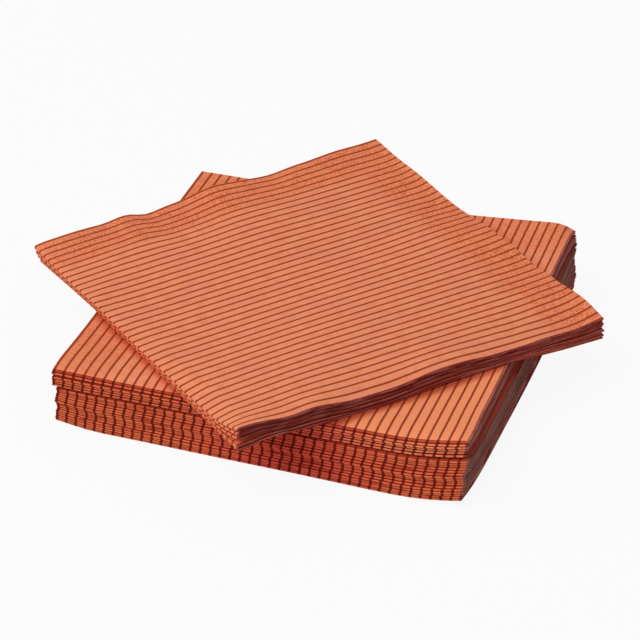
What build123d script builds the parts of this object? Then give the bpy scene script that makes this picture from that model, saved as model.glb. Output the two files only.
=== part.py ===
from build123d import *
import math
import os

# Sheet of one napkin, in millimetres
sheet_side = 330.0
sheet_thickness = 0.24
crease_radius = 0.3

# Air between layers: pressed in the pile, springy in the loose napkins on top
pressed_gap = 0.05
loose_gap = 0.16
resting_gap = 0.04

# How many napkins lie in each group, from the table up
block_count = 16
cluster_count = 6
loose_count = 4

# Place of each group's middle, and its turn seen from above in degrees
block_place = (0.0, 0.0)
cluster_place = (-0.5, -0.2)
loose_place = (-6.4, 4.2)
block_turn = 0.0
cluster_turn = 0.5
loose_turn = -39.7

# From the lowest to the highest napkin of a group: its lean to the right, and its twist in degrees
block_lean = 0.9
cluster_lean = 0.8
loose_lean = -0.9
block_twist = 0.8
cluster_twist = 0.0
loose_twist = 0.8

# Unevenness of a pile squared up by hand: the reach of each drift, and the napkins in one cycle of it
side_drift = 0.3
side_cycle = 10.3
depth_drift = 0.35
depth_cycle = 6.4
turn_drift = 0.12
turn_cycle = 5.3

folded_side = sheet_side / 2
open_edge = folded_side / 2


def box_between(near, far):
    """Rectangle between two opposite corners."""
    middle = ((near[0] + far[0]) / 2, (near[1] + far[1]) / 2)
    return Pos(*middle) * Rectangle(far[0] - near[0], far[1] - near[1])


def strip_height(layer_gap):
    """Two layers of tissue and the gap between them, after the first fold."""
    return 2 * sheet_thickness + layer_gap


def napkin_height(layer_gap):
    """Two strips and the gap between them, after the second fold."""
    return 2 * strip_height(layer_gap) + layer_gap


def second_fold_body(layer_gap):
    """The strip doubled over at the -Y side, as a hairpin section drawn in Y and Z and run along X."""
    height = napkin_height(layer_gap)
    strip = strip_height(layer_gap)
    outline = box_between((-open_edge, 0), (open_edge, height))
    front_corners = outline.vertices().group_by(Axis.X)[0]
    outline = fillet(front_corners, crease_radius)
    between_strips = box_between((-open_edge + strip, strip), (open_edge, height - strip))
    return extrude(Plane.YZ * (outline - between_strips), open_edge, both=True)


def layer_slot(layer_gap):
    """The gap inside the strip: a thin hairpin that stops one thickness short of the first fold."""
    height = napkin_height(layer_gap)
    outer = sheet_thickness
    inner = sheet_thickness + layer_gap
    slot = box_between((-open_edge + outer, outer), (open_edge, height - outer))
    slot -= box_between((-open_edge + inner, inner), (open_edge, height - inner))
    return Pos(-sheet_thickness, 0, 0) * extrude(Plane.YZ * slot, open_edge, both=True)


def first_fold_envelope(layer_gap):
    """Outline in X and Z: a half-round fold on each of the two strips at the +X side."""
    height = napkin_height(layer_gap)
    radius = strip_height(layer_gap) / 2
    fold_x = open_edge - radius
    outline = box_between((-open_edge, 0), (fold_x, height))
    outline += Pos(fold_x, radius) * Circle(radius)
    outline += Pos(fold_x, height - radius) * Circle(radius)
    return extrude(Plane.XZ * outline, open_edge, both=True)


def folded_napkin(layer_gap):
    """Square sheet folded twice to a quarter, with its open edges at -X and +Y."""
    return (second_fold_body(layer_gap) - layer_slot(layer_gap)) & first_fold_envelope(layer_gap)


def stack_group(count, layer_gap, base_height, place, turn, lean, twist):
    """Napkins of one group laid on each other, each a little out of line with the next."""
    napkin = folded_napkin(layer_gap)
    pitch = napkin_height(layer_gap) + resting_gap
    laid = []
    for step in range(count):
        share = step / (count - 1) - 1 / 2
        x = place[0] + lean * share - side_drift * math.cos(2 * math.pi * step / side_cycle)
        y = place[1] + depth_drift * math.cos(2 * math.pi * step / depth_cycle)
        z = base_height + step * pitch
        angle = turn + twist * share + turn_drift * math.sin(2 * math.pi * step / turn_cycle)
        laid.append(Location((x, y, z), (0, 0, angle)) * napkin)
    return laid


pressed_pitch = napkin_height(pressed_gap) + resting_gap
cluster_base = block_count * pressed_pitch
loose_base = cluster_base + cluster_count * pressed_pitch

block = stack_group(block_count, pressed_gap, 0.0, block_place, block_turn, block_lean, block_twist)
cluster = stack_group(
    cluster_count, pressed_gap, cluster_base, cluster_place, cluster_turn, cluster_lean, cluster_twist
)
loose = stack_group(loose_count, loose_gap, loose_base, loose_place, loose_turn, loose_lean, loose_twist)

os.makedirs("parts", exist_ok=True)
for number, napkin in enumerate(block + cluster + loose, start=1):
    export_step(napkin, f"parts/napkin_{number:02d}.step")
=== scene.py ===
import math

import bpy
import numpy as np
from bpy.props import FloatProperty, FloatVectorProperty, IntProperty, PointerProperty
from mathutils import Matrix, Vector


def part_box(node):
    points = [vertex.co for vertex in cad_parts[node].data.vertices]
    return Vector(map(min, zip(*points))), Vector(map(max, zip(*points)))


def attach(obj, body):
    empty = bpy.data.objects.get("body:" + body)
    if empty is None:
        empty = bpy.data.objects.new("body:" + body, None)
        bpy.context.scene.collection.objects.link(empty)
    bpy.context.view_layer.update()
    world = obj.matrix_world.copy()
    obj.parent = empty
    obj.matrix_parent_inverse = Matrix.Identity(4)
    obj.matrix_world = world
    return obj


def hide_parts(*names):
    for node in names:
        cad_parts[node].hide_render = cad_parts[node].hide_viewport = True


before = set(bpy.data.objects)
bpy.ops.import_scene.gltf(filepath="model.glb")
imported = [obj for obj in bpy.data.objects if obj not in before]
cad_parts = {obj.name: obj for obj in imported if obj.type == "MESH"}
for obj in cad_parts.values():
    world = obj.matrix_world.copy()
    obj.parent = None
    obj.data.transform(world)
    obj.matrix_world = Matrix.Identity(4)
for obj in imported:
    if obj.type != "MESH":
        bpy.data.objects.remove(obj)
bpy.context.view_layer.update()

bl_info = {
    "name": "Napkin Stack",
    "version": (1, 0, 0),
    "blender": (4, 5, 0),
    "location": "3D View > Sidebar > Napkins",
    "description": "Lays a stack of folded, pinstriped tissue napkins",
    "category": "Add Mesh",
}

MM = 0.001
NODES = sorted(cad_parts)
FOLDED_SIDE = 165 * MM
HALF_SIDE = FOLDED_SIDE / 2
FINISH_NAME = "pinstriped_tissue"

# Names of what a napkin's mesh tells its finish: the map of the unfolded sheet, and marks for the napkin
UV_NAME = "sheet"
PRINT_NAME = "printed"
COVER_NAME = "covered"
UNDER_NAME = "in_the_pile"
PUFF_NAME = "puffed"
SHIFT_NAME = "print_shift"
HIGHLIGHT_NAME = "fold_highlight"

WHITE = (1.0, 1.0, 1.0, 1.0)
FLOOR_GREY = (0.7, 0.7, 0.7, 1.0)
SHARP_ANGLE = math.radians(50)

# Air between the floor and the stack, and between the pile and the loose napkins
CLEARANCE = 0.1 * MM

# Waves in which the folds stray from a straight line: along the first, and long and short along the second
SIDE_WAVE = 19 * MM
FRONT_WAVE = 23 * MM
FRONT_RIPPLE = 9 * MM

# Steps of the block that lie over a small opening
BLOCK_OPENINGS = (4, 10)

# Widening of the opening below the cluster towards the front right, and how far it runs in
GAP_WIDENING = 0.7
WIDE_GAP_REACH = 80 * MM

# Where the cluster's front edge starts to spring up, and the length over which it does
SPRUNG_RIGHT = 22 * MM
SPRUNG_LEFT = -24 * MM
SPRUNG_REACH = 22 * MM

# How far in from a side of the pile its moves in plan are felt: wide, narrow, and of the bulge at the front
WIDE_REACH = 60 * MM
NARROW_REACH = 40 * MM
BULGE_REACH = 100 * MM

# Parts of the first fold that the drawing in of the cluster spares: the front, and a share towards the back
SPARED_FRONT = 28 * MM
SPARED_BACK = 70 * MM
SPARED_SHARE = 0.3

# Share of the painted highlight on the first fold of each napkin of the cluster, from the lowest up
HIGHLIGHT_SHARES = (0.2, 0.2, 1.0, 0.9, 0.2, 0.7)

# Each loose napkin's share of what stands open along the first fold and elsewhere, from the lowest up
FOLD_SHARES = (0.60, 0.12, 0.12, 0.16)
EDGE_SHARES = (0.32, 0.22, 0.22, 0.24)

# How far each loose napkin counts as covered, which sets how much painted shade it takes, from the highest
# down, and how far all count as sprung open
LOOSE_COVER = (0, 0.3, 0.6, 0.8)
LOOSE_PUFF = 0.6

# How far the waves of the loose napkins' edges run in
FIRST_FOLD_REACH = 20 * MM
FRONT_PUFF_REACH = 48 * MM
OPEN_EDGE_REACH = 40 * MM
SECOND_FOLD_REACH = 30 * MM
CORNER_REACH = 40 * MM

# Waves of those edges: place and width as shares of the edge, and height in millimetres
FIRST_FOLD_WAVES = (
    (0.0, 0.10, 3.4), (0.18, 0.055, 1.1), (0.21, 0.085, 3.6), (0.38, 0.09, 2.0), (0.40, 0.05, -0.65),
    (0.54, 0.09, 2.9), (0.62, 0.045, 0.7), (0.77, 0.05, -0.8), (0.85, 0.1, 0.6), (0.93, 0.07, -1.25),
    (1.0, 0.12, 1.0),
)
FRONT_PUFF = ((0.0, 0.1, 3.2),)
OPEN_SIDE_WAVES = (
    (0.0, 0.06, 1.8), (0.10, 0.12, 3.5), (0.25, 0.045, 2.0), (0.31, 0.035, -0.9), (0.50, 0.075, 3.4),
    (0.60, 0.06, 1.2), (0.735, 0.05, 0.8), (0.86, 0.11, 2.4), (1.0, 0.05, 0.4),
)
OPEN_END_WAVES = (
    (0.0, 0.08, 2.0), (0.18, 0.12, 1.6), (0.34, 0.06, -0.2), (0.60, 0.09, 2.0), (0.92, 0.06, 1.2),
    (1.0, 0.17, 3.4),
)
SECOND_FOLD_WAVES = ((0.0, 0.08, 0.6), (0.13, 0.1, 1.0), (0.3, 0.15, 0.7), (0.6, 0.2, 0.2))

# How far the lowest loose napkin stands out past the first fold, in the same way
SLID_WAVES = ((0.0, 0.1, 1.0), (0.38, 0.1, 1.2), (0.83, 0.155, 1.9))

# Place and width along the first fold where it clears the pile, and how far that runs in
CLEAR_PLACE = 0.09
CLEAR_WIDTH = 0.06
CLEAR_REACH = 25 * MM

# Lengths of the loose napkins' gentle waves across and along, and the power of their droop past the pile
RIPPLE_ACROSS = 15 * MM
RIPPLE_ALONG = 19 * MM
DROOP_POWER = 1.2

# Swells of the loose napkins: place across and along, width across and along, and height in millimetres
SWELLS = {
    "crown beside the first fold": (0.8, 0.35, 0.2, 0.45, 2.8),
    "low crown over the pile's front": (0.5, 0.25, 0.15, 0.3, 0.8),
    "crown beside the open side": (0.2, 0.5, 0.15, 0.25, 2.0),
    "dip along the open end": (0.55, 1.0, 0.45, 0.13, -2.0),
    "wave out of that dip": (0.48, 0.95, 0.13, 0.15, 2.7),
    "dip at the open side": (0.1, 0.35, 0.18, 0.1, -1.1),
    "puff of the fold by the front corner": (0.92, 0.22, 0.09, 0.14, 1.5),
    "puff of the fold halfway along": (0.93, 0.55, 0.1, 0.2, 1.3),
    "dip at the right corner": (0.93, 0.86, 0.11, 0.1, -1.3),
}

# Between which places along X painted light grows on the second folds and the pile's top, and along Y on the
# top
PAINTED_LIGHT_X = (-30 * MM, 50 * MM)
PAINTED_LIGHT_Y = (20 * MM, -20 * MM)

# Where along X the second folds take deep red painted shade, and how far from there that ends and is full
CRIMSON_X = 14 * MM
CRIMSON_REACH = (50 * MM, 6 * MM)

# How the embossed border fades in about its width, and how far from the second fold its dots start
BORDER_FADE = (6 * MM, -5 * MM)
DOTS_FROM_FOLD = (1 * MM, 4 * MM)

# Distances from an edge between which the painted shade between napkins is deepest red
DEEP_REACH = (3 * MM, 0.6 * MM)

# How far past the loose napkins' first fold the painted shade beside them starts
SHADE_PAST_FOLD = 2.4 * MM

# Streaks in a metre of the folds along X, Y and Z
STREAKS = (90, 90, 1300)

# Heights between which the block's first folds turn greyer
GREYER_HEIGHT = (5 * MM, 9 * MM)

# Distances from the first fold's middle between which it takes a painted highlight, and painted red shade in
# the loose napkins
HIGHLIGHT_REACH = (0.5 * MM, 0.1 * MM)
BARE_REACH = (0.45 * MM, 0.15 * MM)


def length(name, millimetres, description):
    """A length setting, given in millimetres and kept in metres."""
    return FloatProperty(name=name, description=description, default=millimetres * MM,
                         unit="LENGTH", subtype="DISTANCE", precision=5)


def tint(name, colour, description):
    """A colour setting from screen values of 0 to 255, turned to linear light by the sRGB curve."""
    linear = [(c / 255 / 12.92) if c / 255 <= 0.04045 else ((c / 255 + 0.055) / 1.055) ** 2.4 for c in colour]
    return FloatVectorProperty(name=name, description=description, default=linear,
                               size=3, subtype="COLOR", min=0, max=1)


class NapkinSheet(bpy.types.PropertyGroup):
    """One napkin: its sheet, its folds and how finely it is meshed."""
    thickness: length("Thickness", 0.2, "Thickness of the pressed plies of tissue")
    pressed_gap: length("Pressed gap", 0.05, "Air between the layers of a napkin in the pile")
    loose_gap: length("Loose gap", 0.16, "Air between the layers of a loose napkin")
    fold_miss: length("Fold miss", 0.5, "How far the second fold can lie off the middle of the sheet")
    body: FloatProperty(name="Body", description="Share of a napkin's height that its layers take up",
                        default=0.88, min=0.5, max=1)
    edge_wander: length("Edge wander", 0.12, "How far a fold strays from a straight line")
    pile_cells: IntProperty(name="Pile cells", description="Cells over one half of a sheet in the pile",
                            default=24, min=4, max=64)
    loose_cells: IntProperty(name="Loose cells", default=48, min=4, max=64,
                             description="Cells over one half of a sheet that shows its face")
    fold_cells: IntProperty(name="Fold cells", description="Cells round one fold", default=8, min=4, max=16)


class PileShape(bpy.types.PropertyGroup):
    """The lower pile: a squared block and a cluster that lies a little askew on it."""
    block_count: IntProperty(name="Block", description="Napkins in the squared block", default=16, min=2)
    cluster_count: IntProperty(name="Cluster", description="Napkins in the cluster on the block",
                               default=6, min=2)
    block_turn: FloatProperty(name="Block turn", description="Turn of the block seen from above",
                              default=0.0, subtype="ANGLE")
    cluster_turn: FloatProperty(name="Cluster turn", description="Turn of the cluster seen from above",
                                default=math.radians(0.5), subtype="ANGLE")
    block_twist: FloatProperty(name="Block twist", default=math.radians(0.8), subtype="ANGLE",
                               description="Turn from the lowest to the highest of the block")
    turn_drift: FloatProperty(name="Turn drift", description="How far a napkin's turn strays",
                              default=math.radians(0.12), subtype="ANGLE")
    turn_cycle: FloatProperty(name="Turn cycle", description="Napkins in one cycle of the turn drift",
                              default=5.3)
    fold_corner_lift: length("Fold corner lift", 4.2, "Rise of the corner where both folds meet")
    fold_corner_reach: length("Fold corner reach", 30, "Length of edge that rises at that corner")
    left_corner_lift: length("Left corner lift", 2.2, "Rise of the front left corner off the table")
    left_corner_reach: length("Left corner reach", 20, "Length of edge that rises there")
    back_corner_drop: length("Back corner drop", 3.8, "Droop of the far right corner of the top napkin")
    back_corner_reach: length("Back corner reach", 11, "Length of edge that droops there")
    rear_corner_drop: length("Rear corner drop", 0.6, "Droop of the far left corner of the top napkin")
    rear_corner_reach: length("Rear corner reach", 70, "Length of edge that droops there")
    back_rise: length("Back rise", 4.6, "Rise of the first fold towards the far right corner")
    back_rise_reach: length("Back rise reach", 52, "Length of the back edge that rises there")
    back_sag: length("Back sag", 0.9, "How far the back edge sags elsewhere")
    cluster_gap: length("Cluster gap", 0.45, "Opening between block and cluster along the edges")
    block_gap: length("Block gap", 0.12, "Smaller openings inside the block along the edges")
    cluster_swell: length("Cluster swell", 0.9, "How much thicker the cluster stands along the edges")
    front_rise: length("Front rise", 1.15,
                       "How far the cluster's front edge springs up on both sides of the loose napkins")
    front_roll: length("Front roll", 1.3, "How far the highest of the cluster rolls down again at that edge")
    front_roll_reach: length("Front roll reach", 10, "How far from the edge it starts to roll down")
    top_gap: length("Top gap", 0.8, "Opening under the two uppermost napkins at the front left")
    gap_reach: length("Gap reach", 45, "How far the openings run in from the edge")
    side_bow: length("Side bow", 1.25, "How far the first folds at the bottom bow out halfway along")
    block_skew: length("Block skew", 0.2,
                       "How far the block's front lies to the right, and its back to the left")
    block_inset: length("Block inset", 1.0, "How far the block's open left edges lie in")
    block_bulge: length("Block bulge", 0.8, "How far the block's front stands out at the right")
    block_rear: length("Block rear", 1.2,
                       "How far the highest of the block is drawn in at the far right corner")
    cluster_out: length("Cluster out", 1.5,
                        "How far the lowest of the cluster stands out at the far right corner")
    cluster_in: length("Cluster in", 1.7, "How far the first fold of the highest of the cluster is drawn in")
    cluster_left: length("Cluster left", 0.4,
                         "How far the highest of the cluster stands out at the left, and the lowest lies in")
    cluster_rear: length("Cluster rear", 0.7, "How far the cluster stands out at the far left corner")


class LooseShape(bpy.types.PropertyGroup):
    """The loose napkins: flat on the pile, drooping past its edges and fanned out at their own corners."""
    turn: FloatProperty(name="Turn", description="Turn of the loose napkins seen from above",
                        default=math.radians(-39.7), subtype="ANGLE")
    twist: FloatProperty(name="Twist", description="Turn from the lowest to the highest loose napkin",
                         default=math.radians(0.8), subtype="ANGLE")
    pitch: length("Pitch", 1.15, "Height of one loose napkin in the middle")
    least_pitch: length("Least pitch", 0.84, "Height of one loose napkin where it is pressed")
    left_droop: length("Left droop", 3.2, "Droop of the corner past the left side of the pile")
    right_droop: length("Right droop", 5.1, "Droop of the corner past the right side of the pile")
    front_droop: length("Front droop", -0.3, "Droop of the corner past the front of the pile")
    back_droop: length("Back droop", 0.2, "Droop of the corner past the back of the pile")
    overhang: length("Overhang", 32, "Overhang at which those droops are measured")
    ripple: length("Ripple", 0.25, "Height of the gentle waves all over the loose napkins")
    set_back: length("Set back", 2.2, "How far the lowest is set back from the highest at the left corner")
    fall_short: length("Fall short", 0.3, "How far the lowest falls short of the highest at the open end")
    corner_pull: length("Corner pull", 0.7,
                        "How far the bent corners at both ends of the second fold draw in")
    fold_rise: length("Fold rise", 1.9,
                      "Height at which the first fold clears the pile beside the front corner")
    fold_gap: FloatProperty(name="Fold gap", description="Share of the height left open along the first fold",
                            default=0.2, min=0, max=0.5)


class NapkinFinish(bpy.types.PropertyGroup):
    """Print and surface of the tissue."""
    ground: tint("Ground", (247, 152, 111), "Orange of the printed side")
    ground_shade: tint("Ground shade", (222, 104, 58), "Deeper orange in its mottling")
    ground_pink: tint("Ground pink", (236, 138, 112), "Pinker orange in wide patches")
    # Painted light: the pile's top made lighter towards the front right
    ground_painted_light: tint("Lit ground", (255, 153, 106), "Lighter orange of the pile's top, at the front right")
    stripe: tint("Stripe", (144, 51, 20), "Red-brown of the pinstripes")
    # Painted shade: the stripes made darker over the pile's second folds
    stripe_shade: tint("Stripe on the fold", (116, 20, 4),
                      "Darker brown where a stripe runs over the second fold")
    # Painted highlight on the crest of the second fold
    crest: tint("Crest", (234, 116, 76), "Orange on the crest of the second fold")
    # Painted light: the crests of the second folds made lighter towards the right
    crest_painted_light: tint("Lit crest", (255, 146, 102),
                    "Lighter orange of those crests in the cluster, towards the right")
    # Painted shade, deep red, on the second folds below the loose napkins' front corner
    crimson_shade: tint("Crimson", (244, 86, 76),
                  "Crimson of the second folds below the loose napkins' front corner")
    # Painted shade on the flanks of the second fold, and deep between napkins
    crease_shade: tint("Crease", (150, 10, 4), "Dark red on both flanks of that fold")
    crest_width: length("Crest width", 0.3, "Width of the crest on the unfolded sheet")
    crease_width: length("Crease width", 1.0, "Width of crest and flanks together")
    # Painted shade: the red of the light between napkins, near the edges
    gap_shade: tint("Glow", (226, 56, 36), "Red that light takes on between napkins, near the edges")
    red_shade_reach: length("Glow reach", 8, "How far it runs in from the folds and edges of a covered napkin")
    # Painted shade on the pile beside the loose napkins
    contact_shade: tint("Contact", (196, 62, 32), "Deep orange-red of the pile beside the loose napkins")
    fold_stripe: length("Fold stripe", 2.0, "Width of the stripe along the first fold")
    # Painted highlight along the middle of the first fold's stripe
    fold_highlight_tint: tint("Fold light", (206, 130, 114), "Pinkish brown where that stripe is rubbed on the fold")
    fold_dark: tint("Fold dark", (130, 45, 41), "Dark brown of that stripe where it is not")
    fold_grey: tint("Fold grey", (142, 98, 88), "Greyer brown of that stripe in the upper half of the block")
    # Ground off the stripe on the lower loose napkins' first folds, painted dark red as shade
    fold_red_shade: tint("Fold red", (168, 66, 54), "Red of that stripe on the lower loose napkins")
    # Painted shade in the embossed dots, whose relief is in the bump
    dot: tint("Dot", (190, 68, 32), "Red-brown in the embossed dots")
    border_tint: tint("Border tint", (242, 126, 72), "Deeper orange of the embossed border")
    reverse: tint("Reverse", (236, 170, 140), "Paler orange of the unprinted side")
    stripes_per_side: IntProperty(name="Stripes", description="Stripe pitches on the folded side",
                                  default=41, min=1)
    stripe_width: length("Stripe width", 0.96, "Width of a pinstripe")
    edge_margin: length("Edge margin", 0.7, "Distance of the outermost stripe's middle from the sheet's edge")
    stripe_blur: length("Stripe blur", 0.15, "Softness of a stripe's edge")
    fold_spread: length("Fold spread", 0.08,
                        "How much wider the stripes look on each side over the second fold")
    border: length("Border", 20, "Width of the embossed border")
    dot_pitch: length("Dot pitch", 0.95, "Distance between the dots embossed in the border")
    block_shift: length("Block shift", 0.08, "How far the print strays across the napkins of the block")
    cluster_shift: length("Cluster shift", 0.35, "How far it strays across those of the cluster")
    loose_shift: length("Loose shift", 1.1, "How far it strays across the loose napkins")
    relief: length("Relief", 0.12, "Height of the fibres and dots in the surface")
    roughness: FloatProperty(name="Roughness", description="Roughness of the tissue",
                             default=0.9, min=0, max=1)
    specular: FloatProperty(name="Specular", description="Strength of the tissue's specular reflection",
                            default=0.1, min=0, max=1)


class StageSetup(bpy.types.PropertyGroup):
    """Floor, lamp and camera."""
    floor_size: FloatProperty(name="Floor size", description="Side of the floor", default=6.0, unit="LENGTH")
    floor_shade: FloatProperty(name="Floor shade", description="Share of the floor's own shading that shows",
                               default=0.08, min=0, max=1)
    sky: FloatProperty(name="Sky", description="Strength of the light from all round", default=0.38, min=0)
    key: FloatProperty(name="Key lamp", description="Power of the lamp in watts", default=43.5, min=0)
    key_size: FloatProperty(name="Key size", description="Side of the lamp", default=2.2, unit="LENGTH")
    key_place: FloatVectorProperty(name="Key place", description="Place of the lamp", size=3,
                                   default=(-1.0, -1.1, 2.0), subtype="XYZ", unit="LENGTH")
    azimuth: FloatProperty(name="Azimuth", description="Camera's turn to the right of the front",
                           default=math.radians(18.58), subtype="ANGLE")
    elevation: FloatProperty(name="Elevation", description="Camera's height over the table",
                             default=math.radians(32.69), subtype="ANGLE")
    roll: FloatProperty(name="Roll", description="Camera's roll", default=math.radians(0.35), subtype="ANGLE")
    distance: length("Distance", 1130.6, "Camera's distance from the middle of the stack")
    aim: FloatVectorProperty(name="Aim", description="Point that the camera looks at", size=3,
                             default=(-0.9 * MM, 0.39 * MM, 15 * MM), subtype="XYZ", unit="LENGTH")
    lens: FloatProperty(name="Lens", description="Focal length in millimetres", default=159.0)
    sensor: FloatProperty(name="Sensor", description="Width of the sensor in millimetres", default=36.0)
    shift: FloatVectorProperty(name="Shift", description="Shift of the picture as a share of its side",
                               default=(-0.0058, 0.0018), size=2)


# Forms of one sheet

def curl(distance, reach):
    """1 at an edge, falling as a square to 0 at the reach from it."""
    return np.clip(1 - np.maximum(distance, 0) / reach, 0, 1) ** 2


def ease(share):
    """0 up to a share of 0, 1 from a share of 1, and a smooth step between them."""
    share = np.clip(share, 0, 1)
    return share * share * (3 - 2 * share)


def bumps(share, table):
    """Sum of bell curves along an edge, each given by its place, its width and its height in millimetres."""
    return sum(height * MM * np.exp(-((share - place) / width) ** 2) for place, width, height in table)


def fold_samples(half_length, radius, flat_cells, fold_cells):
    """Distances across an unfolded sheet from its middle, close together round the fold in the middle."""
    bend = radius * math.pi / 2
    flat = np.linspace(bend, half_length, flat_cells + 1)
    return np.concatenate([-flat[::-1], np.linspace(-bend, bend, fold_cells + 1)[1:-1], flat])


def bent(distance, radius):
    """A straight line bent round a half circle in its middle.

    Returns how far forward each point lies, measured from the circle's middle, how far it lies to the
    side, and the angle that the line has turned there, from minus to plus a quarter turn.
    """
    angle = np.clip(distance / radius, -math.pi / 2, math.pi / 2)
    beyond = np.maximum(np.abs(distance) - radius * math.pi / 2, 0)
    return radius * np.cos(angle) - beyond, radius * np.sin(angle), angle


def folded_sheet(sheet, gap, cells, miss):
    """The middle surface of a sheet folded to a quarter, lying flat on the table about the origin.

    Across the sheet it runs round the first fold, a half circle on the +X side, which makes two layers.
    Along the sheet the pair runs round the second fold on the -Y side. Each point is the path of the
    second fold, moved along that path's normal by the side step of the first. Towards the open end the
    upper half is moved back and the lower half forward by the miss, as if the fold lay off the middle.
    Returns the two distances on the unfolded sheet, the points, and the height of the napkin.
    """
    first = (sheet.thickness + gap) / 2
    strip = 2 * sheet.thickness + gap
    second = (strip + gap) / 2
    height = 2 * strip + gap
    across = fold_samples(FOLDED_SIDE, first, cells, sheet.fold_cells)[:, None]
    along = fold_samples(FOLDED_SIDE, second, cells, sheet.fold_cells)[None, :]
    forward, step, _ = bent(across, first)
    reach, rise, turn = bent(along, second)
    x = HALF_SIDE - first - sheet.thickness / 2 + forward + 0 * along
    y = -HALF_SIDE + second + strip / 2 - reach - step * np.cos(turn)
    z = height / 2 + rise + step * np.sin(turn)
    y = y + miss * np.sign(along) * np.clip(np.abs(along) / FOLDED_SIDE, 0, 1)
    return across + 0 * along, along + 0 * across, np.stack([x, y, z], axis=-1), height


def sheet_mesh(name, across, along, middle, thickness, marks):
    """A closed mesh of a sheet about its middle surface.

    The printed side and the reverse lie half a thickness out along the surface's normal, the cross product
    of its two tangents, and a rim joins them. The map holds the distances on the unfolded sheet in metres.
    A value tells the finish which side is printed, and further marks hold for the whole napkin.
    """
    tangent_across = np.gradient(middle, axis=0)
    tangent_along = np.gradient(middle, axis=1)
    normal = np.cross(tangent_along, tangent_across)
    normal /= np.linalg.norm(normal, axis=-1, keepdims=True)
    rows, columns = across.shape
    count = rows * columns
    points = np.concatenate([(middle + normal * side * thickness / 2).reshape(-1, 3) for side in (1, -1)])
    index = np.arange(count).reshape(rows, columns)
    a, b, c, d = index[:-1, :-1], index[:-1, 1:], index[1:, 1:], index[1:, :-1]
    printed = np.stack([a, b, c, d], axis=-1).reshape(-1, 4)
    rim = np.concatenate([index[0, :-1], index[:-1, -1], index[-1, :0:-1], index[:0:-1, 0]])
    ahead = np.roll(rim, -1)
    edge = np.stack([ahead, rim, rim + count, ahead + count], axis=-1)
    faces = np.concatenate([printed, printed[:, ::-1] + count, edge])
    mesh = bpy.data.meshes.new(name)
    mesh.vertices.add(2 * count)
    mesh.vertices.foreach_set("co", points.astype(np.float32).ravel())
    mesh.loops.add(faces.size)
    mesh.loops.foreach_set("vertex_index", faces.astype(np.int32).ravel())
    mesh.polygons.add(len(faces))
    mesh.polygons.foreach_set("loop_start", np.arange(0, faces.size, 4, dtype=np.int32))
    mesh.polygons.foreach_set("use_smooth", np.ones(len(faces), dtype=bool))
    mesh.update(calc_edges=True)
    flat = np.stack([across.ravel(), along.ravel()], axis=-1)
    layer = mesh.uv_layers.new(name=UV_NAME)
    layer.data.foreach_set("uv", np.concatenate([flat, flat])[faces.ravel()].astype(np.float32).ravel())
    sides = mesh.attributes.new(PRINT_NAME, "FLOAT", "POINT")
    sides.data.foreach_set("value", np.repeat([1.0, 0.0], count).astype(np.float32))
    for key, value in marks.items():
        mark = mesh.attributes.new(key, "FLOAT", "POINT")
        mark.data.foreach_set("value", np.full(2 * count, value, dtype=np.float32))
    mesh.set_sharp_from_angle(angle=SHARP_ANGLE)
    return mesh


def wander(sheet, points, step):
    """Lets the folds of a napkin stray from a straight line by sine waves, whose phase goes by the step."""
    x, y, z = np.moveaxis(points, -1, 0)
    wave = sheet.edge_wander
    dx = wave * np.sin(y / SIDE_WAVE + 2.3 * step)
    dy = wave * np.sin(x / FRONT_WAVE + 1.7 * step) + 0.6 * wave * np.sin(x / FRONT_RIPPLE + 2.9 * step)
    return np.stack([x + dx, y + dy, z], axis=-1)


def group_middle(nodes):
    """Middle of the boxes of some solids."""
    return sum((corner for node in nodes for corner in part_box(node)), Vector()) / (2 * len(nodes))


def turned(points, angle, middle):
    """Points turned about the vertical by an angle and moved to a middle in plan."""
    x, y, z = np.moveaxis(points, -1, 0)
    c, s = math.cos(angle), math.sin(angle)
    return np.stack([c * x - s * y + middle[0], s * x + c * y + middle[1], z], axis=-1)


# How the groups lie

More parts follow.
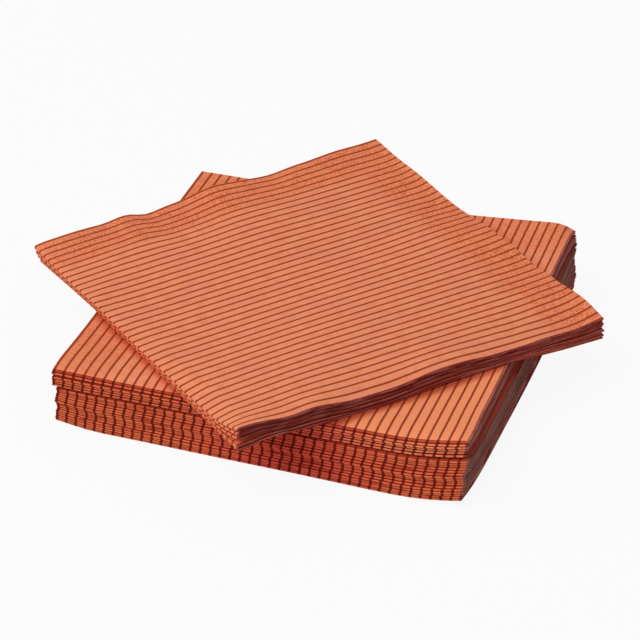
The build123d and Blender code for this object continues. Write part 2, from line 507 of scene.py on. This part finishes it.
def pile_lift(pile, x, y, share, step):
    """Rise of the pile over its squared form at a place in plan and a share of its height.

    The corner where the folds meet rises through the whole height, and the front left corner only near the
    table. The far corners droop towards the top, and the back edge sags but for a rise at the far right.
    Along the edges the groups stand open a little. There the block is pressed down and the cluster takes
    up that height. The cluster's front edge springs up beside the loose napkins, and rolls down again.
    """
    right, left = HALF_SIDE - x, HALF_SIDE + x
    front, back = HALF_SIDE + y, HALF_SIDE - y
    lift = pile.fold_corner_lift * curl(right, pile.fold_corner_reach) * curl(front, pile.fold_corner_reach)
    left_corner = curl(left, pile.left_corner_reach) * curl(front, pile.left_corner_reach)
    lift = lift + pile.left_corner_lift * (1 - share) * left_corner
    back_corner = curl(right, pile.back_corner_reach) * curl(back, pile.back_corner_reach)
    lift = lift - pile.back_corner_drop * share ** 2 * back_corner
    rear_corner = curl(left, pile.rear_corner_reach) * curl(back, pile.rear_corner_reach)
    lift = lift - pile.rear_corner_drop * share ** 2 * rear_corner
    to_corner = np.clip(1 - right / pile.back_rise_reach, 0, 1)
    lift = lift + share * (pile.back_rise * to_corner - pile.back_sag) * curl(back, pile.rear_corner_reach)
    inside = (1 - curl(front, pile.gap_reach)) * (1 - curl(left, pile.gap_reach))
    inside = inside * (1 - curl(right, pile.gap_reach)) * (1 - curl(back, pile.gap_reach))
    widened = 1 + GAP_WIDENING * np.clip(x / HALF_SIDE + 0.2, 0, 1) * curl(front, WIDE_GAP_REACH)
    open_edge = pile.cluster_gap * (step >= pile.block_count) * widened
    open_edge = open_edge + pile.block_gap * sum(step >= opened for opened in BLOCK_OPENINGS)
    top_open = pile.top_gap * (step >= pile.block_count + pile.cluster_count - 2)
    top_open = top_open * curl(left, 3 * pile.gap_reach) * curl(front, 2 * pile.gap_reach)
    sunk = min(step / (pile.block_count - 1), 1 - (step + 1 - pile.block_count) / pile.cluster_count)
    open_edge = open_edge - pile.cluster_swell * max(sunk, 0)
    if pile.block_count <= step < pile.block_count + pile.cluster_count:
        sprung = ease((x - SPRUNG_RIGHT) / SPRUNG_REACH) + ease((SPRUNG_LEFT - x) / SPRUNG_REACH)
        upper = (step + 1 - pile.block_count) / pile.cluster_count
        lift = lift + pile.front_rise * upper * sprung * curl(front, pile.gap_reach)
        lift = lift - pile.front_roll * upper ** 2 * sprung * curl(front, pile.front_roll_reach)
    return lift + open_edge * (1 - inside) + top_open


def swell(across, along):
    """Height by which the loose napkins swell inside their edges, as a sum of bell surfaces in plan.

    Each bell's place and widths are shares of the folded side. The sum eases to nothing at both folds, at
    the open side and at the free ends of the open end.
    """
    bells = sum(height * MM * np.exp(-((across - place) / wide) ** 2 - ((along - ahead) / deep) ** 2)
                for place, ahead, wide, deep, height in SWELLS.values())
    fade = ease((1 - across) / 0.035) * ease((across + 0.01) / 0.05) * ease((along + 0.005) / 0.05)
    free_end = np.maximum(ease((0.47 - across) / 0.1), ease((across - 0.8) / 0.08))
    return bells * fade * (1 - free_end * (1 - ease((1.005 - along) / 0.04)))


def loose_spread(group_x, group_y, step):
    """How much a loose napkin stands open over its pressed height at a place in the group's own plan.

    Each edge has its own row of bell curves, and fades inwards: the first fold puffs up most where it meets
    the second, the open edges ripple, and the second fold stays almost flat. The swells inside are added,
    and each napkin takes its share of that.
    """
    across = (group_x / HALF_SIDE + 1) / 2
    along = (group_y / HALF_SIDE + 1) / 2
    from_fold, from_end = HALF_SIDE - group_x, HALF_SIDE - group_y
    from_side, from_front = HALF_SIDE + group_x, HALF_SIDE + group_y
    first_fold = curl(from_fold, FIRST_FOLD_REACH) * bumps(along, FIRST_FOLD_WAVES)
    first_fold = first_fold + curl(from_fold, FRONT_PUFF_REACH) * bumps(along, FRONT_PUFF)
    open_side = curl(from_side, OPEN_EDGE_REACH) * bumps(along, OPEN_SIDE_WAVES)
    open_end = curl(from_end, OPEN_EDGE_REACH) * bumps(across, OPEN_END_WAVES)
    second_fold = curl(from_front, SECOND_FOLD_REACH) * bumps(across, SECOND_FOLD_WAVES)
    edges = open_side + open_end + second_fold + swell(across, along)
    return FOLD_SHARES[step] * first_fold + EDGE_SHARES[step] * edges


def settle_pile(pile, points, pile_top, step):
    """Lets a napkin of the pile follow the pile's corners; its height is its share of the pile.

    The first folds bow out as half a cosine along the side, most at the table. The block lies a little skew,
    its open edges a little in and its front a little out. The cluster's first folds are drawn in towards its
    top, more in the middle than at both ends, and its far corners and its left side are out of square.
    """
    x, y, z = np.moveaxis(points, -1, 0)
    share = np.clip(z / pile_top, 0, 1)
    lift = pile_lift(pile, x, y, share, step)
    bow = pile.side_bow * (1 - share) * np.cos(np.clip(y / HALF_SIDE, -1, 1) * math.pi / 2)
    right, left = HALF_SIDE - x, HALF_SIDE + x
    front, back = HALF_SIDE + y, HALF_SIDE - y
    x = x + bow * curl(right, WIDE_REACH)
    if step < pile.block_count:
        x = x - pile.block_skew * y / HALF_SIDE + pile.block_inset * (1 - share) * curl(left, NARROW_REACH)
        x = x - pile.block_rear * share * curl(right, WIDE_REACH) * curl(back, WIDE_REACH)
        to_right = np.clip(1 - right / BULGE_REACH, 0, 1)
        y = y - pile.block_bulge * (1 - share) * to_right * curl(front, WIDE_REACH)
    else:
        upper = (step - pile.block_count) / (pile.cluster_count - 1)
        x = x + (1 - upper) * pile.cluster_out * curl(right, NARROW_REACH) * curl(back, NARROW_REACH)
        drawn = ease(front / SPARED_FRONT) * (1 - SPARED_SHARE * curl(back, SPARED_BACK))
        x = x - upper * pile.cluster_in * curl(right, NARROW_REACH) * drawn
        x = x - pile.cluster_left * (2 * upper - 1) * curl(left, NARROW_REACH)
        x = x - pile.cluster_rear * curl(left, WIDE_REACH) * curl(back, WIDE_REACH)
    return np.stack([x, y, z + lift], axis=-1)


def settle_loose(pile, loose, points, height, pile_top, middle, step, body):
    """Lays a loose napkin on the pile.

    In plan the lower ones stand out past the first fold in bell curves, and are set back at the left corner.
    The lowest surface follows the pile's top, and past each side it droops with a power of the overhang.
    On it the napkins stand one on the other, each as high as its pitch and its share of the spread.
    """
    x, y, z = np.moveaxis(points, -1, 0)
    c, s = math.cos(loose.turn), math.sin(loose.turn)
    from_x, from_y = x - middle[0], y - middle[1]
    group_x, group_y = c * from_x + s * from_y, c * from_y - s * from_x
    across, along = (group_x / HALF_SIDE + 1) / 2, (group_y / HALF_SIDE + 1) / 2
    from_fold, from_side = HALF_SIDE - group_x, HALF_SIDE + group_x
    at_front = curl(HALF_SIDE + group_y, CORNER_REACH)
    left_corner = curl(from_side, CORNER_REACH) * at_front
    front_corner = curl(from_fold, CORNER_REACH) * at_front
    lower = 1 - step / (len(FOLD_SHARES) - 1)
    slid = lower * across * bumps(along, SLID_WAVES)
    slid = slid + (loose.corner_pull + lower * loose.set_back) * left_corner
    slid = slid - loose.corner_pull * front_corner
    short = -lower * loose.fall_short * along ** 2
    x, y = x + c * slid - s * short, y + s * slid + c * short
    on_x, on_y = np.clip(x, -HALF_SIDE, HALF_SIDE), np.clip(y, -HALF_SIDE, HALF_SIDE)
    bottom = pile_top + pile_lift(pile, on_x, on_y, 1.0, len(NODES)) + CLEARANCE
    for past, droop in ((-HALF_SIDE - x, loose.left_droop), (x - HALF_SIDE, loose.right_droop),
                        (-HALF_SIDE - y, loose.front_droop), (y - HALF_SIDE, loose.back_droop)):
        bottom = bottom - droop * (np.maximum(past, 0) / loose.overhang) ** DROOP_POWER
    ripple = 1 + np.sin(group_x / RIPPLE_ACROSS + 1.0) * np.sin(group_y / RIPPLE_ALONG + 0.5)
    bottom = bottom + loose.ripple * ripple
    clear = curl(from_fold, CLEAR_REACH) * np.exp(-((along - CLEAR_PLACE) / CLEAR_WIDTH) ** 2)
    bottom = bottom + loose.fold_rise * clear
    heights = [np.maximum(loose.pitch + loose_spread(group_x, group_y, under), loose.least_pitch)
               for under in range(step + 1)]
    body = body - loose.fold_gap * curl(from_fold, FIRST_FOLD_REACH)
    level = bottom + sum(heights[:step], 0 * bottom) + heights[step] * body * z / height
    return np.stack([x, y, level], axis=-1)


# Finish

class Shade:
    """A value in a material's nodes. Sums on it add Math nodes to that material."""

    def __init__(self, tree, socket):
        self.tree = tree
        self.socket = socket

    def feed(self, target, value):
        """Links a Shade to a socket, or sets the socket to a plain value."""
        if isinstance(value, Shade):
            self.tree.links.new(value.socket, target)
        else:
            target.default_value = value

    def node(self, kind, settings, values, output=0):
        """Adds a node of a kind, with its settings first and then the values or links of its sockets."""
        made = self.tree.nodes.new(kind)
        for key, value in settings.items():
            setattr(made, key, value)
        for key, value in values.items():
            self.feed(made.inputs[key], value)
        return Shade(self.tree, made.outputs[output])

    def sum(self, operation, *values):
        """Adds a Math node with an operation on some values."""
        return self.node("ShaderNodeMath", {"operation": operation}, dict(enumerate(values)))

    def __add__(self, other):
        return self.sum("ADD", self, other)

    def __sub__(self, other):
        return self.sum("SUBTRACT", self, other)

    def __mul__(self, other):
        return self.sum("MULTIPLY", self, other)

    def __truediv__(self, other):
        return self.sum("DIVIDE", self, other)

    def __radd__(self, other):
        return self.sum("ADD", other, self)

    def __rsub__(self, other):
        return self.sum("SUBTRACT", other, self)

    def __rmul__(self, other):
        return self.sum("MULTIPLY", other, self)

    def __rtruediv__(self, other):
        return self.sum("DIVIDE", other, self)

    def __abs__(self):
        return self.sum("ABSOLUTE", self)

    def least(self, other):
        """The smaller of two values."""
        return self.sum("MINIMUM", self, other)

    def most(self, other):
        """The larger of two values."""
        return self.sum("MAXIMUM", self, other)

    def from_nearest_whole(self):
        """Distance from the nearest whole number, from 0 to a half."""
        return abs(self.sum("FRACT", self + 0.5) - 0.5)

    def ramp(self, start, end):
        """0 at the start, 1 at the end and a smooth step between them."""
        return self.node("ShaderNodeMapRange", {"interpolation_type": "SMOOTHSTEP"},
                         {"Value": self, "From Min": start, "From Max": end})

    def mix(self, first, second):
        """Between two colours, by this value."""
        return self.node("ShaderNodeMix", {"data_type": "RGBA"}, {0: self, 6: first, 7: second}, 2)


def opaque(colour):
    """A colour setting with full alpha, as a node's socket takes it."""
    return (*colour, 1.0)


def seen_plainly(start):
    """1 where a surface is seen by the camera, mirrored or through glass, and 0 where it only gives light."""
    camera, mirrored, through = (start.node("ShaderNodeLightPath", {}, {}, f"Is {ray} Ray")
                                 for ray in ("Camera", "Glossy", "Transmission"))
    return camera.most(mirrored).most(through)


def tissue_material(finish, loose_turn, loose_middle):
    """Printed tissue, on the map of the unfolded sheet.

    A stripe lies on every whole pitch from the middle of the sheet, moved by the napkin's own shift. A border
    along the sheet's edges is embossed with scattered dots, darkened as painted shade. Clouds in the tissue
    mottle the ground, and the unprinted side is paler. The second fold has a painted highlight on its crest
    between dark red flanks of painted shade, with streaks along it, and deep red painted shade below the
    loose napkins' front corner; over the pile's second folds the stripes are painted darker as shade. The
    stripe on the first fold has a painted highlight along its middle, and painted red shade on the lower
    loose napkins. Near the edges of a covered napkin, and on the pile beside the loose napkins, painted red
    shade stands for the light between them. Painted light makes the pile's top and the crests lighter
    towards the right.
    """
    material = bpy.data.materials.new(FINISH_NAME)
    material.use_nodes = True
    tree = material.node_tree
    surface = tree.nodes["Principled BSDF"]
    start = Shade(tree, None)
    flat = start.node("ShaderNodeUVMap", {"uv_map": UV_NAME}, {})
    across, along = (start.node("ShaderNodeSeparateXYZ", {}, {0: flat}, axis) for axis in (0, 1))
    place = start.node("ShaderNodeTexCoord", {}, {}, "Object")
    x, y, height = (start.node("ShaderNodeSeparateXYZ", {}, {0: place}, axis) for axis in (0, 1, 2))
    from_x, from_y = x - loose_middle[0], y - loose_middle[1]
    c, s = math.cos(loose_turn), math.sin(loose_turn)
    group_x, group_y = c * from_x + s * from_y, c * from_y - s * from_x

    def mark(name):
        """The value that a napkin's mesh holds under a name."""
        return start.node("ShaderNodeAttribute", {"attribute_name": name}, {}, "Fac")

    side, cover, under = mark(PRINT_NAME), mark(COVER_NAME), mark(UNDER_NAME)
    puffed, shift, highlight_share = mark(PUFF_NAME), mark(SHIFT_NAME), mark(HIGHLIGHT_NAME)
    top_of_pile = under * (1 - cover)
    held = cover.most(under)

    def clouds(scale, detail):
        """Noise on the unfolded sheet."""
        return start.node("ShaderNodeTexNoise", {}, {"Vector": flat, "Scale": scale, "Detail": detail})

    # Stripes, and the wider one along the first fold
    pitch = (FOLDED_SIDE - finish.edge_margin) / finish.stripes_per_side
    bleed = (clouds(900, 2) - 0.5) * (0.25 * finish.stripe_width)
    off_stripe = ((across + shift) / pitch).from_nearest_whole() * pitch + bleed
    half_crest, half_crease = finish.crest_width / 2, finish.crease_width / 2
    over_fold = abs(along).ramp(1.4 * half_crease, half_crease)
    half_stripe = finish.stripe_width / 2 + over_fold * finish.fold_spread
    stripe = off_stripe.ramp(half_stripe + finish.stripe_blur, half_stripe - finish.stripe_blur)
    half_fold = finish.fold_stripe / 2
    on_fold = (abs(across) + bleed).ramp(half_fold + finish.stripe_blur, half_fold - finish.stripe_blur)

    # Embossed border
    from_edge = (FOLDED_SIDE - abs(across)).least(FOLDED_SIDE - abs(along))
    border = (from_edge - finish.border).ramp(*BORDER_FADE)
    to_dot = start.node("ShaderNodeTexVoronoi", {}, {
        "Vector": flat, "Scale": 1 / finish.dot_pitch, "Randomness": 0.55}, "Distance")
    dots = to_dot.ramp(0.50, 0.26) * border * abs(along).ramp(*DOTS_FROM_FOLD) * (1 - 0.35 * under)

    # Ground of the tissue
    mottle = clouds(210, 3).ramp(0.35, 0.7)
    fibre = clouds(2600, 3)
    ground = (mottle * 0.3 + (fibre - 0.5) * 0.9).mix(opaque(finish.ground), opaque(finish.ground_shade))
    ground = (clouds(55, 1).ramp(0.45, 0.65) * 0.35).mix(ground, opaque(finish.ground_pink))
    ground = (border * 0.28).mix(ground, opaque(finish.border_tint))
    # Painted light, growing towards the right and, on the pile's top, towards the front
    painted_light = puffed * x.ramp(*PAINTED_LIGHT_X)
    ground = (0.85 * painted_light * y.ramp(*PAINTED_LIGHT_Y) * top_of_pile).mix(ground, opaque(finish.ground_painted_light))

    # Painted highlight on the crest and painted shade on the flanks of the second fold, with streaks along it
    stretched = start.node("ShaderNodeVectorMath", {"operation": "MULTIPLY"}, {0: place, 1: STREAKS})
    streaks = start.node("ShaderNodeTexNoise", {}, {"Vector": stretched, "Scale": 1.0, "Detail": 2.0})
    # Painted highlight on the crests of covered napkins and of those in the pile
    crest = held.mix(ground, (0.8 * painted_light).mix(opaque(finish.crest), opaque(finish.crest_painted_light)))
    # Painted deep red shade on the pile's second folds, in a band along X below the loose napkins' front
    # corner
    crimson_shade_band = abs(x - CRIMSON_X).ramp(*CRIMSON_REACH) * under
    crest = (crimson_shade_band * 0.6).mix(crest, opaque(finish.crimson_shade))
    # Painted shade: the crest of the pile's top napkin darkened
    crest = (0.55 * top_of_pile).mix(crest, opaque(finish.crease_shade))
    # Painted shade on both flanks of the second fold, broken by streaks, stronger on covered napkins
    flank = abs(along).ramp(half_crest, 0.8 * half_crease)
    flank = flank.most(streaks.ramp(0.5, 0.75) * (0.8 - 0.45 * puffed))
    fold = (flank * (0.1 + 0.9 * held) * (0.75 + 0.25 * under)).mix(crest, opaque(finish.crease_shade))

    # Painted red shade between napkins, and painted shade on the pile beside the loose ones
    inward = from_edge.least(abs(across)).least(abs(along))
    # Painted red shade near the edges of a covered napkin, darkest close to them
    near = inward.ramp(finish.red_shade_reach, 0.3 * finish.red_shade_reach) * cover * (0.5 + 0.5 * under)
    deep = inward.ramp(*DEEP_REACH) * cover * under
    gap_shade = (deep * 0.55).mix(opaque(finish.gap_shade), opaque(finish.crease_shade))
    ground = (near * 0.75).mix(ground, gap_shade)
    # Painted shade on the pile's top beside the loose napkins
    past_fold = abs(group_x - SHADE_PAST_FOLD / 2) - (HALF_SIDE + SHADE_PAST_FOLD / 2)
    beside = past_fold.most(abs(group_y) - HALF_SIDE)
    shaded = beside.ramp(0.4 * finish.red_shade_reach, -0.15 * finish.red_shade_reach) * top_of_pile
    ground = (shaded * 0.75).mix(ground, opaque(finish.contact_shade))
    ground = over_fold.mix(ground, fold)

    # Print, its stripes painted darker as shade over the pile's second folds, and the stripe on the first
    # fold with its painted highlight
    # Painted shade: the ink is darker over the second folds of the pile
    ink = (over_fold * under).mix(opaque(finish.stripe), opaque(finish.stripe_shade))
    printed = (stripe * (0.92 + (fibre - 0.5) * 0.3)).mix(ground, ink)
    # The block's first folds turn greyer above a height
    greyer_band = height.ramp(*GREYER_HEIGHT) * under * (1 - puffed)
    # Painted highlight along the middle of the first fold, broken by streaks and varied per napkin
    highlit = streaks.ramp(0.42, 0.66) * abs(across).ramp(*HIGHLIGHT_REACH)
    highlit = highlit * (0.5 + 0.5 * under) * highlight_share * (1 - 0.6 * greyer_band)
    # Ground off the stripe in the middle of the loose napkins' first folds, painted red as shade by how far
    # each is covered
    bare_shaded_fold = abs(across).ramp(*BARE_REACH) * cover * (1 - under)
    fold_ground = bare_shaded_fold.mix(opaque(finish.fold_dark), opaque(finish.fold_red_shade))
    # Painted highlight: the cluster's first folds made lighter throughout
    fold_ground = (puffed * under * highlight_share * 0.5).mix(fold_ground, opaque(finish.fold_highlight_tint))
    fold_ground = (greyer_band * 0.8).mix(fold_ground, opaque(finish.fold_grey))
    printed = on_fold.mix(printed, highlit.mix(fold_ground, opaque(finish.fold_highlight_tint)))

    # Painted shade in the embossed dots, and the print showing through on the reverse
    pressed = (dots * (0.4 + 0.5 * clouds(90, 2).ramp(0.3, 0.7))).mix(printed, opaque(finish.dot))
    show_through = (stripe * 0.35).mix(opaque(finish.reverse), opaque(finish.stripe))
    colour = side.mix(show_through, pressed)
    relief = fibre * 0.5 + mottle * 0.5 - dots
    bump = start.node("ShaderNodeBump", {}, {"Strength": 0.35, "Distance": finish.relief, "Height": relief})
    start.feed(surface.inputs["Base Color"], colour)
    start.feed(surface.inputs["Normal"], bump)
    surface.inputs["Roughness"].default_value = finish.roughness
    surface.inputs["Specular IOR Level"].default_value = finish.specular
    return material


# Operators

class NapkinLayer:
    """What the operators share: one napkin made, finished and parented to the root body."""

    def lay(self, context, step, gap, cells, turn, settle, marks):
        """Folds a napkin for the solid of that step, lays it there, lets it settle and marks it.

        How far its second fold misses the middle of the sheet goes by a sine of the step.
        """
        scene = context.scene
        sheet = scene.napkin_sheet
        node = NODES[step]
        low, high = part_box(node)
        middle = (low + high) / 2
        miss = sheet.fold_miss * math.sin(2.1 * step + 0.4)
        across, along, points, height = folded_sheet(sheet, gap, cells, miss)
        points = turned(wander(sheet, points, step), turn, middle)
        points = settle(points, height, low.z, high.z)
        name = node.replace("napkin", "tissue")
        mesh = sheet_mesh(name, across, along, points, sheet.thickness, marks)
        first_loose = scene.napkin_pile.block_count + scene.napkin_pile.cluster_count
        material = bpy.data.materials.get(FINISH_NAME) or tissue_material(
            scene.napkin_finish, scene.napkin_loose.turn, group_middle(NODES[first_loose:]))
        mesh.materials.append(material)
        piece = bpy.data.objects.new(name, mesh)
        scene.collection.objects.link(piece)
        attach(piece, "root")
        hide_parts(node)

    def lay_pile(self, context, first, count, turn, twist):
        """Lays napkins of the pile from one step on.

        Each has its share of the twist, and its turn and its print stray by sines of its step.
        """
        scene = context.scene
        pile, sheet, finish = scene.napkin_pile, scene.napkin_sheet, scene.napkin_finish
        top_step = pile.block_count + pile.cluster_count - 1
        pile_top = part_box(NODES[top_step])[1].z
        for step in range(first, first + count):
            stray = pile.turn_drift * math.sin(2 * math.pi * (step - first) / pile.turn_cycle)
            stray += twist * ((step - first) / (count - 1) - 1 / 2)
            cells = sheet.loose_cells if step == top_step else sheet.pile_cells

            def settle(points, height, low, high, step=step):
                points = points.copy()
                points[..., 2] = low + points[..., 2] * sheet.body * (high - low) / height
                return settle_pile(pile, points, pile_top, step)

            in_cluster = step >= pile.block_count
            reach = finish.cluster_shift if in_cluster else finish.block_shift
            shift = reach * math.sin(2.4 * (top_step - step))
            highlight_share = HIGHLIGHT_SHARES[step - pile.block_count] if in_cluster else 1
            marks = {COVER_NAME: step < top_step, UNDER_NAME: 1, PUFF_NAME: in_cluster, SHIFT_NAME: shift,
                     HIGHLIGHT_NAME: highlight_share}
            self.lay(context, step, sheet.pressed_gap, cells, turn + stray, settle, marks)


class NAPKIN_OT_block(NapkinLayer, bpy.types.Operator):
    """Lay the squared block at the bottom of the pile"""
    bl_idname = "napkin.block"
    bl_label = "Squared Block"

    def execute(self, context):
        pile = context.scene.napkin_pile
        self.lay_pile(context, 0, pile.block_count, pile.block_turn, pile.block_twist)
        return {"FINISHED"}


class NAPKIN_OT_cluster(NapkinLayer, bpy.types.Operator):
    """Lay the cluster that sits a little askew on the block"""
    bl_idname = "napkin.cluster"
    bl_label = "Cluster"

    def execute(self, context):
        pile = context.scene.napkin_pile
        self.lay_pile(context, pile.block_count, pile.cluster_count, pile.cluster_turn, 0.0)
        return {"FINISHED"}


class NAPKIN_OT_loose(NapkinLayer, bpy.types.Operator):
    """Lay the loose napkins, turned askew and fanned at their corners, on the pile"""
    bl_idname = "napkin.loose"
    bl_label = "Loose Napkins"

    def execute(self, context):
        scene = context.scene
        pile, loose, sheet = scene.napkin_pile, scene.napkin_loose, scene.napkin_sheet
        first = pile.block_count + pile.cluster_count
        pile_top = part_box(NODES[first - 1])[1].z
        count = len(NODES) - first
        middle = group_middle(NODES[first:])
        for step in range(count):
            stray = pile.turn_drift * math.sin(2 * math.pi * step / pile.turn_cycle)
            stray += loose.twist * (step / (count - 1) - 1 / 2)

            def settle(points, height, low, high, step=step):
                return settle_loose(pile, loose, points, height, pile_top, middle, step, sheet.body)

            above = count - 1 - step
            shift = scene.napkin_finish.loose_shift * math.sin(2.0 * above)
            marks = {COVER_NAME: LOOSE_COVER[above], UNDER_NAME: 0, PUFF_NAME: LOOSE_PUFF,
                     SHIFT_NAME: shift, HIGHLIGHT_NAME: 1}
            turn = loose.turn + stray
            self.lay(context, first + step, sheet.loose_gap, sheet.loose_cells, turn, settle, marks)
        return {"FINISHED"}


class NAPKIN_OT_stage(bpy.types.Operator):
    """Set the floor, the lamp and the camera"""
    bl_idname = "napkin.stage"
    bl_label = "Stage"

    def execute(self, context):
        setup = context.scene.napkin_stage
        self.floor(context, setup)
        self.sky(context, setup)
        self.lamp(context, setup)
        self.camera(context, setup)
        return {"FINISHED"}

    def floor(self, context, setup):
        """A plain white floor that keeps a share of its shading, so that the stack's shadow stays on it."""
        half = setup.floor_size / 2
        mesh = bpy.data.meshes.new("floor")
        corners = ((-half, -half), (half, -half), (half, half), (-half, half))
        mesh.from_pydata([(x, y, -CLEARANCE) for x, y in corners], [], [(0, 1, 2, 3)])
        material = bpy.data.materials.new("floor_white")
        material.use_nodes = True
        tree = material.node_tree
        tree.nodes.remove(tree.nodes["Principled BSDF"])
        start = Shade(tree, None)
        seen = seen_plainly(start)
        plain = start.node("ShaderNodeBsdfDiffuse", {}, {"Color": FLOOR_GREY})
        white = start.node("ShaderNodeEmission", {}, {"Color": WHITE, "Strength": 1.0})
        share = seen * (1 - setup.floor_shade)
        surface = start.node("ShaderNodeMixShader", {}, {0: share, 1: plain, 2: white})
        start.feed(tree.nodes["Material Output"].inputs["Surface"], surface)
        mesh.materials.append(material)
        floor = bpy.data.objects.new("floor", mesh)
        context.scene.collection.objects.link(floor)

    def sky(self, context, setup):
        """Even white light from all round, which the camera sees as plain white."""
        world = bpy.data.worlds.new("studio")
        context.scene.world = world
        world.use_nodes = True
        tree = world.node_tree
        start = Shade(tree, None)
        seen = seen_plainly(start)
        strength = seen * (1 - setup.sky) + setup.sky
        start.feed(tree.nodes["Background"].inputs["Strength"], strength)
        tree.nodes["Background"].inputs["Color"].default_value = WHITE

    def lamp(self, context, setup):
        """A square lamp that looks at the stack."""
        light = bpy.data.lights.new("key_lamp", "AREA")
        light.energy = setup.key
        light.size = setup.key_size
        lamp = bpy.data.objects.new("key_lamp", light)
        lamp.location = setup.key_place
        lamp.rotation_euler = (-Vector(setup.key_place)).to_track_quat("-Z", "Y").to_euler()
        context.scene.collection.objects.link(lamp)

    def camera(self, context, setup):
        """A long lens on the stack from the front right, looking down."""
        back = Vector((math.sin(setup.azimuth) * math.cos(setup.elevation),
                       -math.cos(setup.azimuth) * math.cos(setup.elevation), math.sin(setup.elevation)))
        right = Vector((math.cos(setup.azimuth), math.sin(setup.azimuth), 0.0))
        up = back.cross(right)
        c, s = math.cos(setup.roll), math.sin(setup.roll)
        right, up = c * right + s * up, c * up - s * right
        data = bpy.data.cameras.new("camera")
        data.sensor_width = setup.sensor
        data.lens = setup.lens
        data.shift_x, data.shift_y = setup.shift
        camera = bpy.data.objects.new("camera", data)
        place = Matrix((right, up, back)).transposed().to_4x4()
        place.translation = Vector(setup.aim) + setup.distance * back
        camera.matrix_world = place
        context.scene.collection.objects.link(camera)
        context.scene.camera = camera
        context.scene.view_settings.view_transform = "Standard"


class NAPKIN_PT_panel(bpy.types.Panel):
    """Settings and steps of the napkin stack"""
    bl_idname = "NAPKIN_PT_panel"
    bl_label = "Napkin Stack"
    bl_space_type = "VIEW_3D"
    bl_region_type = "UI"
    bl_category = "Napkins"

    def draw(self, context):
        for setting, kind in SETTINGS.items():
            box = self.layout.box()
            box.label(text=kind.__name__)
            for name in kind.__annotations__:
                box.prop(getattr(context.scene, setting), name)
        for step in STEPS:
            self.layout.operator(step.bl_idname)


SETTINGS = {
    "napkin_sheet": NapkinSheet,
    "napkin_pile": PileShape,
    "napkin_loose": LooseShape,
    "napkin_finish": NapkinFinish,
    "napkin_stage": StageSetup,
}
STEPS = (NAPKIN_OT_block, NAPKIN_OT_cluster, NAPKIN_OT_loose, NAPKIN_OT_stage)
CLASSES = (*SETTINGS.values(), *STEPS, NAPKIN_PT_panel)


def register():
    for kind in CLASSES:
        bpy.utils.register_class(kind)
    for setting, kind in SETTINGS.items():
        setattr(bpy.types.Scene, setting, PointerProperty(type=kind))


def unregister():
    for setting in SETTINGS:
        delattr(bpy.types.Scene, setting)
    for kind in reversed(CLASSES):
        bpy.utils.unregister_class(kind)


def main():
    register()
    bpy.ops.napkin.block()
    bpy.ops.napkin.cluster()
    bpy.ops.napkin.loose()
    bpy.ops.napkin.stage()


if __name__ == "__main__":
    main()
